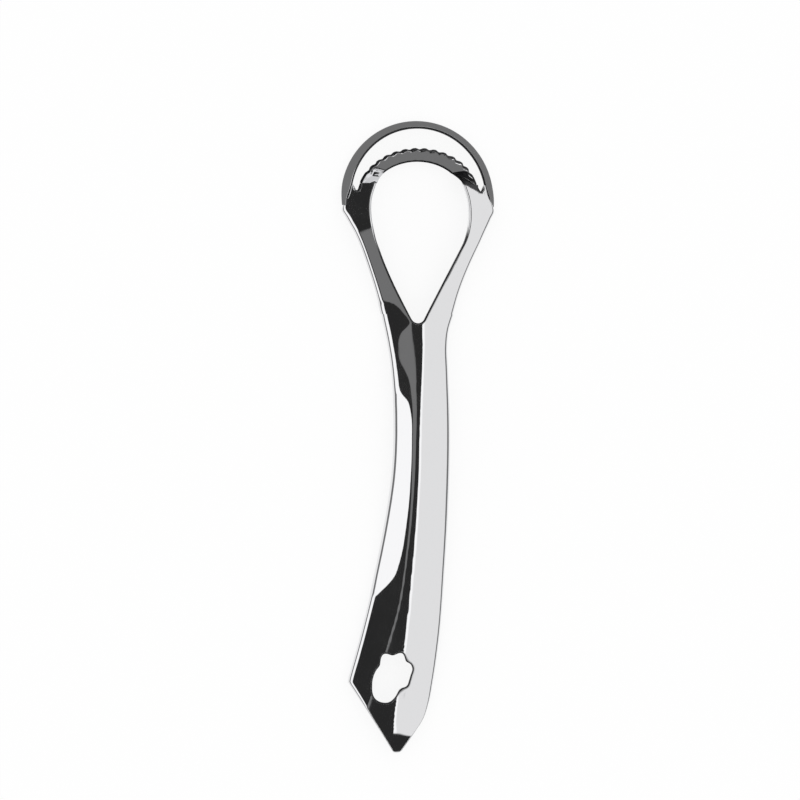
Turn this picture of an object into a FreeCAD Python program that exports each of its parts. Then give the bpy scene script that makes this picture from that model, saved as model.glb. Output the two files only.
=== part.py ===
import FreeCAD
import Part
import bisect
import math
import os

# A tongue scraper pressed from one steel sheet, split at its bends into five solids.
# Working side up (+Z), handle along -Y, loop head along +Y, origin under the middle of its box.
# All sizes are in mm. "along" is the distance from the pointed end. "height" is taken from a level inside
# the head, and the surface that the part rests on lies at BASE_HEIGHT.

LENGTH = 145.0
SHEET = 0.8
RIM_RADIUS = 1.15
RIM_WALL = 0.45
HEAD_RIM_WALL = 1.9
BASE_HEIGHT = -2.25
# Largest shares of a narrow section's width that one sheet and one rim bend may take
SHEET_SHARE = 0.28
RIM_SHARE = 0.4
FACE_STEPS = 12

# Places along the length
TIP_ROUND = 1.3
END_CORNER = 16.5
ARM_SEAM = 100.5
HEAD_CENTRE = 127.1
HEAD_CORNER = 125.3
SLOT_SEAM = 130.3
# Where the arms' inner rims grow deeper and where their outer rims fade out
INNER_RIM_DEEPENS = (116.0, 124.0)
OUTER_RIM_FADES = (123.0, HEAD_CENTRE)

# Outline of the handle: (along, x)
LEFT_END = [(0.0, -5.8), (TIP_ROUND, -6.7), (END_CORNER, -16.3)]
LEFT_SIDE = [(END_CORNER, -16.3), (27.6, -13.2), (38.9, -10.5), (51.3, -8.15), (63.0, -6.55),
             (75.0, -6.0), (83.0, -6.15), (91.0, -6.8), (98.0, -7.9), (ARM_SEAM, -8.4)]
RIGHT_SIDE = [(0.0, -4.6), (TIP_ROUND, -3.45), (4.8, -1.0), (7.6, 1.05), (11.2, 2.5),
              (END_CORNER, 3.6), (25.0, 4.85), (42.5, 6.15), (62.5, 6.95), (77.0, 7.05), (88.0, 6.75),
              (93.0, 6.7), (97.0, 7.2), (ARM_SEAM, 8.3)]

# Outline of the arms, on either side of the loop: (along, distance from the middle)
ARM_OUTER = [(ARM_SEAM, 8.35), (105.3, 9.65), (111.6, 11.9), (118.7, 15.05), (122.5, 16.95),
             (124.4, 17.8), (125.6, 17.4), (HEAD_CENTRE, 16.5), (SLOT_SEAM, 15.6)]
ARM_INNER = [(ARM_SEAM, 2.12), (108.3, 6.15), (114.5, 9.1), (117.5, 10.4), (119.8, 11.0),
             (122.5, 11.3), (HEAD_CENTRE, 11.05), (SLOT_SEAM, 10.05)]
FORK_SHIFT = [(ARM_SEAM, -0.4), (112.0, -0.3), (118.0, 0.0), (SLOT_SEAM, 0.0)]

# Lengthwise crease and the fall of its two flanks: (along, value)
CREASE_X = [(0.0, -6.2), (7.6, -5.97), (11.5, -5.54), (16.5, -4.85), (25.0, -3.65), (35.3, -2.6),
            (47.0, -1.64), (62.5, -0.85), (73.0, -0.55), (82.0, -0.12), (94.6, 0.6), (98.0, 0.6),
            (106.0, 0.0), (SLOT_SEAM, 0.0)]
CREASE_HEIGHT = [(0.0, 1.6), (8.0, 1.45), (16.5, 1.9), (25.0, 2.1), (40.0, 2.5), (55.0, 3.4),
                 (70.0, 3.95), (85.0, 3.1), (98.0, 1.75), (105.0, 2.2), (111.6, 3.5), (118.0, 5.1),
                 (123.0, 5.9), (126.5, 5.5), (SLOT_SEAM, 4.9)]
LEFT_SLOPE = [(0.0, 0.12), (8.0, 0.2), (16.5, 0.26), (30.0, 0.3), (40.0, 0.36), (48.0, 0.46), (60.0, 0.52),
              (74.0, 0.52), (82.0, 0.42), (90.0, 0.31), (98.0, 0.3), (104.0, 0.25), (116.0, 0.24),
              (121.0, 0.32), (125.0, 0.32), (SLOT_SEAM, 0.3)]
RIGHT_SLOPE = [(0.0, 0.12), (8.0, 0.2), (16.5, 0.26), (48.0, 0.33), (60.0, 0.36), (74.0, 0.36), (90.0, 0.3),
               (98.0, 0.28), (104.0, 0.22), (116.0, 0.22), (121.0, 0.3), (SLOT_SEAM, 0.3)]
CREASE_SOFTNESS = 1.7

# Fork at the bottom of the loop: its round end, and where its straight sides stop
FORK_RADIUS = 1.7
FORK_ALONG = 100.1
FORK_SIDES_STOP = 108.3

# Blades: half axes of the arcs about the head's centre, (across, along)
OUTER_LIP = (18.0, 17.9)
OUTER_EDGE = (15.65, 15.9)
SERRATED_EDGE = (14.35, 11.5)
INNER_LIP = (10.9, 8.3)
CORNER_FLARE = 1.2
CORNER_EDGE_HEIGHT = 0.9
EDGE_HEIGHT = 0.6
OUTER_LIP_HEIGHT = -1.1
SERRATED_HEIGHT = 2.4
INNER_LIP_HEIGHT = -0.4
# Shares of a blade's arc, from either end, over which its height changes
EDGE_DROP = (0.09, 0.35)
LIP_DROP = (-0.1, 0.12)
SERRATED_DROP = (0.0, 0.25)
# Notches along the serrated edge; the first lies at this share of the arc from either end
NOTCH_COUNT = 13
NOTCH_RADIUS = 0.5
FIRST_NOTCH = 0.1
# Sections that the lofts pass through
END_SECTIONS = 8
HANDLE_SECTIONS = 22
ARM_SECTIONS = 16
BLADE_SECTIONS = 33

# Hanging hole, a rounded paw: distance of its outline from its centre, by direction in degrees
HOLE_CENTRE = (-6.4, 17.6)
HOLE_OUTLINE = [(-12.0, 4.05), (3.0, 4.3), (21.0, 5.05), (32.0, 5.12), (48.0, 4.75), (67.0, 5.8), (90.0, 4.95),
                (111.0, 5.6), (136.0, 4.0), (160.0, 4.05), (200.0, 4.9), (233.0, 6.3), (258.0, 6.0),
                (300.0, 3.4), (310.0, 3.4), (327.0, 4.0), (348.0, 4.05)]
HOLE_STEPS = 60

# Height of the upright cutters
TALL = 40.0


def smooth(table, along):
    """Value of a table at a place along the part, through its points on a smooth curve."""
    places = [row[0] for row in table]
    values = [row[1] for row in table]
    last = len(table) - 1
    along = min(max(along, places[0]), places[last])
    k = min(max(bisect.bisect_right(places, along) - 1, 0), last - 1)
    steps = [(values[i + 1] - values[i]) / (places[i + 1] - places[i]) for i in range(last)]

    def tangent(i):
        if i == 0:
            return steps[0]
        if i == last:
            return steps[last - 1]
        before = places[i] - places[i - 1]
        after = places[i + 1] - places[i]
        return (steps[i - 1] * after + steps[i] * before) / (before + after)

    span = places[k + 1] - places[k]
    u = (along - places[k]) / span
    return (values[k] * (1 + 2 * u) * (1 - u) ** 2 + values[k + 1] * u * u * (3 - 2 * u)
            + span * (tangent(k) * u * (1 - u) ** 2 - tangent(k + 1) * u * u * (1 - u)))


def blend(start, stop, value):
    """0 before start, 1 after stop, with an eased ramp between."""
    u = min(max((value - start) / (stop - start), 0.0), 1.0)
    return u * u * (3 - 2 * u)


def point(x, along, height):
    return FreeCAD.Vector(x, along - LENGTH / 2, height - BASE_HEIGHT)


def face_height(x, along):
    """Height of the sheet's upper face: two flanks that meet in a soft crease."""
    off = abs(x - smooth(CREASE_X, along)) / CREASE_SOFTNESS
    fall = CREASE_SOFTNESS * (off + math.log1p(math.exp(-2 * off)) - math.log(2))
    slope = LEFT_SLOPE if x < smooth(CREASE_X, along) else RIGHT_SLOPE
    return smooth(CREASE_HEIGHT, along) - smooth(slope, along) * fall


def rise(x, along):
    """Slope of the upper face across the part."""
    off = (x - smooth(CREASE_X, along)) / CREASE_SOFTNESS
    slope = LEFT_SLOPE if off < 0 else RIGHT_SLOPE
    return -smooth(slope, along) * math.tanh(off)


def channel(along, left, right, left_radius=RIM_RADIUS, right_radius=RIM_RADIUS,
            left_wall=RIM_WALL, right_wall=RIM_WALL):
    """Closed section of the sheet with both rims turned down, at one place along the part."""
    width = right - left
    sheet = min(SHEET, SHEET_SHARE * width)
    left_radius = min(left_radius, RIM_SHARE * width)
    right_radius = min(right_radius, RIM_SHARE * width)

    def place(x, height):
        return point(x, along, height)

    left_lean = math.atan(rise(left + left_radius, along))
    right_lean = math.atan(-rise(right - right_radius, along))
    face_left = left + left_radius * (1 - math.sin(left_lean))
    face_right = right - right_radius * (1 - math.sin(right_lean))
    left_top = face_height(face_left, along)
    right_top = face_height(face_right, along)
    left_mid = left_top - left_radius * math.cos(left_lean)
    right_mid = right_top - right_radius * math.cos(right_lean)
    left_lip = left_mid - left_wall
    right_lip = right_mid - right_wall

    left_bend = (left_lean + math.pi / 2) / 2
    right_bend = (right_lean + math.pi / 2) / 2
    left_arc_mid = place(left + left_radius * (1 - math.sin(left_bend)),
                         left_mid + left_radius * math.cos(left_bend))
    right_arc_mid = place(right - right_radius * (1 - math.sin(right_bend)),
                          right_mid + right_radius * math.cos(right_bend))

    knots = spaced(0.0, 1.0, FACE_STEPS + 1)
    top_points = []
    under_points = []
    under_left = left + sheet
    under_right = right - sheet
    for u in knots:
        x = face_left + (face_right - face_left) * u
        top_points.append(place(x, face_height(x, along)))
        x = under_left + (under_right - under_left) * u
        under = face_height(min(max(x, face_left), face_right), along) - sheet
        under_points.append(place(x, under))
    top = Part.BSplineCurve()
    top.interpolate(Points=top_points, Parameters=knots)
    under = Part.BSplineCurve()
    under.interpolate(Points=under_points, Parameters=knots)

    edges = [
        Part.makeLine(place(left, left_lip), place(left, left_mid)),
        Part.Arc(place(left, left_mid), left_arc_mid, top_points[0]).toShape(),
        top.toShape(),
        Part.Arc(top_points[-1], right_arc_mid, place(right, right_mid)).toShape(),
        Part.makeLine(place(right, right_mid), place(right, right_lip)),
        Part.makeLine(place(right, right_lip), place(under_right, right_lip)),
        Part.makeLine(place(under_right, right_lip), under_points[-1]),
        under.toShape(),
        Part.makeLine(under_points[0], place(under_left, left_lip)),
        Part.makeLine(place(under_left, left_lip), place(left, left_lip)),
    ]
    return Part.Wire(Part.__sortEdges__(edges))


def spaced(start, stop, count):
    return [start + (stop - start) * i / (count - 1) for i in range(count)]


def largest(shape):
    return max(shape.Solids, key=lambda solid: solid.Volume)


def upright(x, along, radius):
    """Round cutter standing on the part."""
    return Part.makeCylinder(radius, TALL, point(x, along, -TALL / 2), FreeCAD.Vector(0, 0, 1))


def make_handle():
    end_places = [0.0, TIP_ROUND / 2] + spaced(TIP_ROUND, END_CORNER, END_SECTIONS)
    end = Part.makeLoft([channel(s, smooth(LEFT_END, s), smooth(RIGHT_SIDE, s)) for s in end_places], True)
    side_places = spaced(END_CORNER, ARM_SEAM, HANDLE_SECTIONS)
    body = Part.makeLoft([channel(s, smooth(LEFT_SIDE, s), smooth(RIGHT_SIDE, s)) for s in side_places], True)
    return largest(body.fuse(end).cut(hole_cutter()).cut(fork_cutter()))


def hole_cutter():
    """Upright cutter with the hole's outline."""
    rim = []
    for k in range(HOLE_STEPS):
        degrees = HOLE_OUTLINE[0][0] + 360.0 * k / HOLE_STEPS
        reach = smooth(HOLE_OUTLINE, degrees)
        across = HOLE_CENTRE[0] + reach * math.cos(math.radians(degrees))
        along = HOLE_CENTRE[1] + reach * math.sin(math.radians(degrees))
        rim.append(point(across, along, -TALL / 2))
    outline = Part.BSplineCurve()
    outline.interpolate(Points=rim, PeriodicFlag=True)
    return Part.Face(Part.Wire(outline.toShape())).extrude(FreeCAD.Vector(0, 0, TALL))


def fork_cutter():
    """Bottom of the loop: a rounded V that opens up to the arms."""
    shift = smooth(FORK_SHIFT, ARM_SEAM)
    widening = smooth(ARM_INNER, FORK_SIDES_STOP) - smooth(ARM_INNER, ARM_SEAM)
    lean = math.atan2(widening, FORK_SIDES_STOP - ARM_SEAM)
    side_x = FORK_RADIUS * math.cos(lean)
    side_along = FORK_ALONG - FORK_RADIUS * math.sin(lean)
    top_along = ARM_SEAM + 1.0
    top_x = side_x + (top_along - side_along) * math.tan(lean)
    low = -TALL / 2
    right = point(shift + side_x, side_along, low)
    bottom = point(shift, FORK_ALONG - FORK_RADIUS, low)
    left = point(shift - side_x, side_along, low)
    top_left = point(shift - top_x, top_along, low)
    top_right = point(shift + top_x, top_along, low)
    outline = Part.Wire([
        Part.Arc(right, bottom, left).toShape(),
        Part.makeLine(left, top_left),
        Part.makeLine(top_left, top_right),
        Part.makeLine(top_right, right),
    ])
    return Part.Face(outline).extrude(FreeCAD.Vector(0, 0, TALL))


def make_arm(side):
    """One arm with its shoulder; side is -1 for the left arm and +1 for the right."""
    wires = []
    for s in spaced(ARM_SEAM, SLOT_SEAM, ARM_SECTIONS):
        outer = side * smooth(ARM_OUTER, s) + smooth(FORK_SHIFT, s) / 2
        inner = side * smooth(ARM_INNER, s) + smooth(FORK_SHIFT, s)
        outer_radius = RIM_RADIUS - (RIM_RADIUS - SHEET / 2) * blend(*OUTER_RIM_FADES, s)
        inner_wall = RIM_WALL + (HEAD_RIM_WALL - RIM_WALL) * blend(*INNER_RIM_DEEPENS, s)
        if side < 0:
            wires.append(channel(s, outer, inner, outer_radius, RIM_RADIUS, RIM_WALL, inner_wall))
        else:
            wires.append(channel(s, inner, outer, RIM_RADIUS, outer_radius, inner_wall, RIM_WALL))
    arm = Part.makeLoft(wires, True)
    slot_outer = arc_point(OUTER_EDGE, SLOT_SEAM)
    slot_inner = arc_point(SERRATED_EDGE, SLOT_SEAM)
    middle = side * (slot_outer + slot_inner) / 2
    return arm.cut(upright(middle, SLOT_SEAM, (slot_outer - slot_inner) / 2))


def arc_point(axes, along):
    """Distance from the middle of a blade arc at a place along the part."""
    return axes[0] * math.sqrt(1 - ((along - HEAD_CENTRE) / axes[1]) ** 2)


def arc_angle(axes, start, u):
    """Angle on a blade arc, from its left end (u = 0) to its right end (u = 1)."""
    first = math.asin((start - HEAD_CENTRE) / axes[1])
    return math.pi - first - u * (math.pi - 2 * first)


def strip(rows):
    """Solid blade from rows of (edge point, lip point, unit normal)."""
    wires = []
    for edge, lip, normal in rows:
        back = FreeCAD.Vector(0, 0, -SHEET / normal.z)
        wires.append(Part.makePolygon([edge, lip, lip + back, edge + back, edge]))
    return Part.makeLoft(wires, True)


def blade_rows(edge_at, lip_at, shares):
    """Rows for a strip at the given shares of the blade's arc."""
    rows = []
    step = 1e-3
    for u in shares:
        edge = edge_at(u)
        lip = lip_at(u)
        along = edge_at(u + step) + lip_at(u + step) - edge_at(u - step) - lip_at(u - step)
        normal = along.cross(edge - lip)
        normal.normalize()
        rows.append((edge, lip, normal if normal.z > 0 else normal * -1))
    return rows


def smooth_edge(u):
    angle = arc_angle(OUTER_EDGE, HEAD_CORNER, u)
    along = HEAD_CENTRE + OUTER_EDGE[1] * math.sin(angle)
    flare = CORNER_FLARE * blend(SLOT_SEAM, HEAD_CORNER, along)
    side = math.copysign(1.0, math.cos(angle))
    height = CORNER_EDGE_HEIGHT + (EDGE_HEIGHT - CORNER_EDGE_HEIGHT) * arch_share(u, *EDGE_DROP)
    return point(OUTER_EDGE[0] * math.cos(angle) + side * flare, along, height)


def smooth_lip(u):
    angle = arc_angle(OUTER_LIP, HEAD_CORNER, u)
    return point(OUTER_LIP[0] * math.cos(angle), HEAD_CENTRE + OUTER_LIP[1] * math.sin(angle),
                 OUTER_LIP_HEIGHT * arch_share(u, *LIP_DROP))


def arch_share(u, start, stop):
    """0 near both ends of a blade, 1 over the middle of the arch."""
    return blend(start, stop, u) * blend(1 - start, 1 - stop, u)


def serrated_edge(u):
    angle = arc_angle(SERRATED_EDGE, SLOT_SEAM, u)
    root = face_height(arc_point(SERRATED_EDGE, SLOT_SEAM), SLOT_SEAM)
    height = root + (SERRATED_HEIGHT - root) * arch_share(u, *SERRATED_DROP)
    return point(SERRATED_EDGE[0] * math.cos(angle),
                 HEAD_CENTRE + SERRATED_EDGE[1] * math.sin(angle), height)


def serrated_lip(u):
    angle = arc_angle(INNER_LIP, SLOT_SEAM, u)
    return point(INNER_LIP[0] * math.cos(angle),
                 HEAD_CENTRE + INNER_LIP[1] * math.sin(angle), INNER_LIP_HEIGHT)


def make_serrated_blade():
    blade = strip(blade_rows(serrated_edge, serrated_lip, spaced(0.0, 1.0, BLADE_SECTIONS)))
    notches = spaced(FIRST_NOTCH, 1 - FIRST_NOTCH, NOTCH_COUNT)
    for edge, _, normal in blade_rows(serrated_edge, serrated_lip, notches):
        reach = normal * TALL / 8
        blade = blade.cut(Part.makeCylinder(NOTCH_RADIUS, 2 * reach.Length, edge - reach, normal))
    return largest(blade)


os.makedirs("parts", exist_ok=True)
smooth_blade = strip(blade_rows(smooth_edge, smooth_lip, spaced(0.0, 1.0, BLADE_SECTIONS)))
serrated_blade = make_serrated_blade()
pieces = {
    "handle": make_handle(),
    "left_arm": largest(make_arm(-1).cut(smooth_blade).cut(serrated_blade)),
    "right_arm": largest(make_arm(1).cut(smooth_blade).cut(serrated_blade)),
    "smooth_blade": smooth_blade,
    "serrated_blade": serrated_blade,
}
for name, shape in pieces.items():
    shape.exportStep("parts/" + name + ".step")
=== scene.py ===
import math
from typing import Callable, NamedTuple

import bpy
import numpy as np
from mathutils import Matrix, Vector


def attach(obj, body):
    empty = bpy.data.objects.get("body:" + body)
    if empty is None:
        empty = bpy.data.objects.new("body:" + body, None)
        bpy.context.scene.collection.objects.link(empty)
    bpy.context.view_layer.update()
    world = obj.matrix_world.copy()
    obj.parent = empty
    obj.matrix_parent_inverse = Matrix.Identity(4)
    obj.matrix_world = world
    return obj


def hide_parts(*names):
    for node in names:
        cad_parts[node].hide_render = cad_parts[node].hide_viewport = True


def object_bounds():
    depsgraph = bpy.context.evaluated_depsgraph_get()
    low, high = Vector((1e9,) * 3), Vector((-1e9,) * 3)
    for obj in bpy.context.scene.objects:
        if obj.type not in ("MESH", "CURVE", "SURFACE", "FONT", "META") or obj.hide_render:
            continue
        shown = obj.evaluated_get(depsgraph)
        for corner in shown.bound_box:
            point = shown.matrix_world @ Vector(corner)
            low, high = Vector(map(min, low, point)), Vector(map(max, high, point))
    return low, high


# A tongue scraper pressed from one polished steel sheet, seen from above on a pale floor.
# Shapes are worked out in mm: "along" runs from the pointed end to the head, and "height" is counted from
# a level a little above the floor. Only the finished meshes are turned into metres.

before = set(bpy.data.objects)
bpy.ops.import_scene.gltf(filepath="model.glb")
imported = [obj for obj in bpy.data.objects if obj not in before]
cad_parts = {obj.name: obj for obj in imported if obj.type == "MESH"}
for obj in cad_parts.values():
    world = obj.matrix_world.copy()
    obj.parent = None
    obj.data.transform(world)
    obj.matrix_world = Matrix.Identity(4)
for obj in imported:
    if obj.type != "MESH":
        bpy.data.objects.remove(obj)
cad_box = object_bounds()
MM = 0.001
TINY = 1e-9
UP = np.array((0.0, 0.0, 1.0))

LENGTH = 145.0
# Height of the surface that the part lies on
BASE_HEIGHT = -2.25
# The sheet's thickness, and the most that it takes of a side's width at the narrow tip
SHEET = 0.8
SHEET_SHARE = 0.28
# The outer rim: the drop of its bend, the wall below it, and the most that the bend takes of a side's width
RIM_DROP = 0.8
RIM_WALL = 0.45
RIM_SHARE = 0.4

# Places along the length
TIP_RADIUS = 1.42
END_CORNER = 16.5
ARM_SEAM = 100.5
HEAD_CORNER = 125.3
HEAD_CENTRE = 127.1
SLOT_SEAM = 130.3

# Where the arms' rims narrow, and the share of the bend that is left
OUTER_RIM_FADES = (123.0, HEAD_CENTRE)
FADED_RIM = 0.2
# Where the arms' rims come down to the smooth blade, how far below its edge they reach,
# and the share of their thickness that is taken off there
BLADE_JOINS = (124.8, 125.6)
BLADE_OVERLAP = 1.1
THINNED_WALL = 0.6
# How far the outer rim's bend reaches in from the edge: (along, reach)
RIM_REACH = [(0.0, 0.45), (9.0, 0.5), (13.0, 0.85), (18.0, 1.0), (32.0, 1.05), (60.0, 1.4), (92.0, 1.3),
             (105.0, 1.1), (SLOT_SEAM, 1.0)]
# Painted dark reflection on the outer rim's lower lip, on the left and right: a grey line painted on the
# right side only
RIM_LIP_PAINTED_DARK = {-1: 0.0, 1: 0.5}

# Outline of the handle: (along, x)
LEFT_END = [(0.0, -5.88), (1.3, -6.7), (END_CORNER, -16.3)]
LEFT_SIDE = [(END_CORNER, -16.3), (27.6, -13.2), (38.9, -10.5), (51.3, -8.15), (63.0, -6.55),
             (75.0, -6.0), (83.0, -6.15), (91.0, -6.8), (98.0, -7.9), (ARM_SEAM, -8.4)]
RIGHT_SIDE = [(0.0, -4.36), (1.3, -3.45), (4.8, -1.0), (7.6, 1.05), (11.2, 2.5), (END_CORNER, 3.6),
              (25.0, 4.85), (42.5, 6.15), (62.5, 6.95), (77.0, 7.05), (88.0, 6.75), (93.0, 6.7),
              (97.0, 7.2), (ARM_SEAM, 8.3)]
CORNER_ROUNDING = 0.15
TIP_X = (LEFT_END[0][1] + RIGHT_SIDE[0][1]) / 2
# The share of its radius at which the round tip opens out to the straight sides, and how fast it opens
TIP_JOIN = 0.45
TIP_FLARE = 10.0
# Share of the width at which the handle changes from its left wing to its right wing: (along, share),
# and the stretch over which that line moves to the fork's middle
MIDDLE_SHARE = [(0.0, 0.5), (5.0, 0.55), (11.0, 0.82), (24.0, 0.82), (50.0, 0.6), (98.0, 0.49)]
MIDDLE_TO_FORK = (88.0, 98.0)

# Outline of the arms: (along, distance from the middle), and how far their middle is shifted
ARM_OUTER = [(ARM_SEAM, 8.35), (105.3, 9.65), (111.6, 11.9), (118.7, 15.05), (122.5, 16.95),
             (124.4, 17.8), (125.6, 17.4), (HEAD_CENTRE, 16.5), (SLOT_SEAM, 15.6)]
ARM_INNER = [(ARM_SEAM, 2.12), (108.3, 6.15), (114.5, 9.1), (117.5, 10.4), (119.8, 11.0),
             (122.5, 11.3), (HEAD_CENTRE, 11.05), (SLOT_SEAM, 10.05)]
FORK_SHIFT = [(ARM_SEAM, -0.4), (112.0, -0.3), (118.0, 0.0), (SLOT_SEAM, 0.0)]
# The fork's round end, and the lean of the straight sides that follow it
FORK_RADIUS = 1.7
FORK_ALONG = 100.1
FORK_LEAN = math.atan2(ARM_INNER[1][1] - ARM_INNER[0][1], ARM_INNER[1][0] - ARM_INNER[0][0])

# Lengthwise crease, its height, the slope of its right flank and the softness of that flank's bend:
# (along, value)
CREASE_X = [(0.0, -6.2), (7.6, -5.97), (11.5, -5.54), (16.5, -4.85), (25.0, -3.65), (35.3, -2.6),
            (47.0, -1.64), (62.5, -0.85), (73.0, -0.55), (82.0, -0.12), (94.6, 0.6), (98.0, 0.6),
            (106.0, 0.0), (SLOT_SEAM, 0.0)]
CREASE_HEIGHT = [(0.0, 1.6), (8.0, 1.45), (16.5, 1.9), (25.0, 2.1), (40.0, 2.5), (55.0, 3.4),
                 (70.0, 3.94), (85.0, 3.1), (98.0, 1.75), (105.0, 2.2), (111.6, 3.5), (118.0, 5.1),
                 (123.0, 5.9), (126.5, 5.5), (SLOT_SEAM, 4.9)]
RIGHT_SLOPE = [(0.0, 0.1), (4.0, 0.1), (8.0, 0.2), (16.5, 0.26), (48.0, 0.33), (60.0, 0.36), (74.0, 0.36),
               (90.0, 0.3), (98.0, 0.28), (104.0, 0.22), (116.0, 0.22), (121.0, 0.3), (SLOT_SEAM, 0.3)]
CREASE_SOFTNESS = [(0.0, 2.0), (12.0, 2.0), (20.0, 2.8), (SLOT_SEAM, 2.8)]
# The left flank steepens in steps: its slopes at the crease and at six folds beside it
FOLD_SLOPES = (0.03, 0.158, 0.287, 0.33, 0.36, 0.41, 0.52)
# Distances of three of those folds from the crease, (along, distance), the least gap between two folds,
# and how far the others stand from these
FOLD_NEAR = [(0.0, 7.9), (9.6, 6.5), (13.5, 5.7), (20.0, 4.5), (26.8, 3.3), (31.6, 2.4), (35.0, 1.95),
             (40.0, 1.6), (46.0, 1.4), (51.5, 1.1), (57.0, 0.98), (67.0, 0.8), (80.4, 0.93), (84.0, 1.17),
             (87.7, 1.35), (91.4, 1.7), (95.0, 2.3), (97.3, 2.5), (98.4, 2.5), (99.4, 1.5), (101.0, 0.6),
             (SLOT_SEAM, 0.6)]
FOLD_FAR = [(0.0, 8.15), (9.6, 6.75), (13.5, 5.95), (20.0, 4.75), (26.8, 3.55), (31.6, 2.65), (35.0, 2.2),
            (40.0, 1.85), (46.0, 1.65), (57.0, 1.4), (67.0, 1.55), (76.3, 1.65), (80.4, 1.97), (84.0, 2.53),
            (85.9, 3.05), (87.7, 4.0), (89.5, 5.0), (92.5, 5.5), (95.0, 5.3), (96.4, 4.7), (97.6, 3.5),
            (98.3, 2.95), (98.9, 3.0), (100.8, 4.25), (101.9, 5.15), (102.8, 6.5), (103.5, 8.9),
            (104.5, 12.0), (106.0, 14.0), (119.3, 14.0), (122.3, 4.0), (SLOT_SEAM, 4.0)]
FOLD_STEEP = [(0.0, 25.0), (30.0, 25.0), (33.0, 13.0), (35.0, 9.0), (37.8, 6.0), (40.5, 3.96),
              (43.3, 3.19), (46.0, 2.71), (51.5, 2.22), (57.0, 1.89), (62.5, 1.75), (71.7, 1.72),
              (76.3, 1.92), (78.5, 2.31), (80.4, 2.9), (82.2, 4.36), (84.0, 5.23), (86.0, 6.4),
              (89.0, 9.0), (92.0, 12.0), (104.0, 13.0), (110.0, 25.0), (SLOT_SEAM, 25.0)]
FOLD_GAP = 0.13
FOLD_WIDTH = 0.4
STEEP_WIDTH = 0.3
# The pointed end bends down before its tip: where that starts, its fall over the first mm, and its power
NOSE_START = 5.7
NOSE_FALL = 0.075
NOSE_POWER = 1.5

# Loop's inner edge: its soft roll, its sharp rounding, (along, radius), and where its dark edge, dull steel
# with a painted dark reflection, gives way to bright steel
ROLL_WIDTH = 0.6
ROLL_SLOPE = 0.25
INNER_ROUND = [(90.0, 0.14), (112.0, 0.14), (120.0, 0.7), (SLOT_SEAM, 0.7)]
INNER_DARK_FADES = (118.0, 121.5)
# The lip that hangs at that edge: (along, depth), its most width in half widths of the opening,
# and its section, (share of its width, share of its depth above its lowest point)
INNER_HANG = [(ARM_SEAM, 0.1), (112.0, 0.15), (121.0, 0.5), (126.0, 0.4), (SLOT_SEAM, 0.1)]
HANG_SHARE = 1.2
HANG_SECTION = [(1.0, 0.3), (0.85, 0.05), (0.5, 0.0), (0.15, 0.05), (0.0, 0.3)]
# Underside: how far its outer corner stands in, in sheets, and the most of the rim's bend that it follows
UNDER_CORNER = 1.4
UNDER_BEND = 0.8
# Dark edge round every cut, partly dull shear-cut steel and partly painted dark reflection of the rounded
# edge: its width, and its strength, which over 1 holds before it fades
SHEARED_AND_PAINTED_EDGE = 0.5
DARK_EDGE_STRENGTH = 1.8

# Blades: half axes of the arcs about the head's centre, (across, along)
OUTER_LIP = (17.98, 17.88)
OUTER_EDGE = (15.65, 15.9)
SERRATED_EDGE = (14.35, 11.5)
INNER_LIP = (10.9, 8.3)
# How far the smooth blade's edge is shifted to the right over the arch, and flares out at the arms
OUTER_EDGE_SHIFT = 0.05
CORNER_FLARE = 0.95
# Heights of the blades' edges, and the shares of its length between which the serrated one comes down
# from the arms
EDGE_HEIGHT = 0.9
SERRATED_HEIGHT = 2.4
SERRATED_DROP = (0.0, 0.2)
# Lean of the blades' faces from level, and how much less they lean where they look to the right
BLADE_LEAN = math.radians(38.0)
BLADE_LEAN_CHANGE = math.radians(2.0)
# The smooth blade's thickness, the rounding of both blades' edges, and the painted dark reflection on the
# line beside them
BLADE_SHEET = 0.7
EDGE_ROUND = 0.1
EDGE_LINE_PAINTED_DARK = 0.4
# Width of the painted dark band, a painted reflection, on the serrated blade's lip, and the shares of its
# length between which the band sets in past the left root
LIP_PAINTED_DARK_WIDTH = 0.7
LIP_DARK_STARTS = (0.13, 0.17)
# Shares of the serrated blade's length that its root facets take, and over which its thickness turns upright
ROOT_FACET = 0.17
ROOT_TURN = 0.09
# Painted dark reflection on the facet at the right root, and how far it runs on into the arm
FACET_PAINTED_DARK = 0.95
WEDGE_LENGTH = 1.7
# Notches: their depth, the share of the blade's length before the first, how far past the first and last
# they fade out, in pitches, and their power, which over 1 makes them narrower than the gaps between
NOTCH_COUNT = 13
NOTCH_DEPTH = 0.36
FIRST_NOTCH = 0.1
NOTCH_FADE = (0.5, 0.3)
NOTCH_POWER = 1.5
# Bevel beside each notch: its share of the blade's width, its drop, and how far it trails the notch,
# in pitches
BEVEL_SHARE = 0.16
BEVEL_DROP = 0.13
BEVEL_TRAIL = 0.3
# Ends of the slot between the blades: how deep they reach into the arms, their power, which over 2 makes
# them fuller than an ellipse, the rounding of their edge, and the stretch of the arms' mesh that gives way
SLOT_DEPTH = 1.65
SLOT_FULLNESS = 3.0
SLOT_ROUND = 0.2
SLOT_BEND = 4.5

# Hanging hole, a lobed opening: distance of its outline from its centre, by direction in degrees
HOLE_CENTRE = (-6.4, 17.6)
HOLE_OUTLINE = [(-12.0, 4.05), (3.0, 4.3), (21.0, 5.05), (32.0, 5.12), (48.0, 4.75), (67.0, 5.8),
                (90.0, 4.95), (111.0, 5.6), (136.0, 4.0), (160.0, 4.05), (200.0, 4.9), (233.0, 6.3),
                (258.0, 6.0), (300.0, 3.4), (310.0, 3.4), (327.0, 4.0), (348.0, 4.05)]
HOLE_ROUND = 0.2

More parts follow.
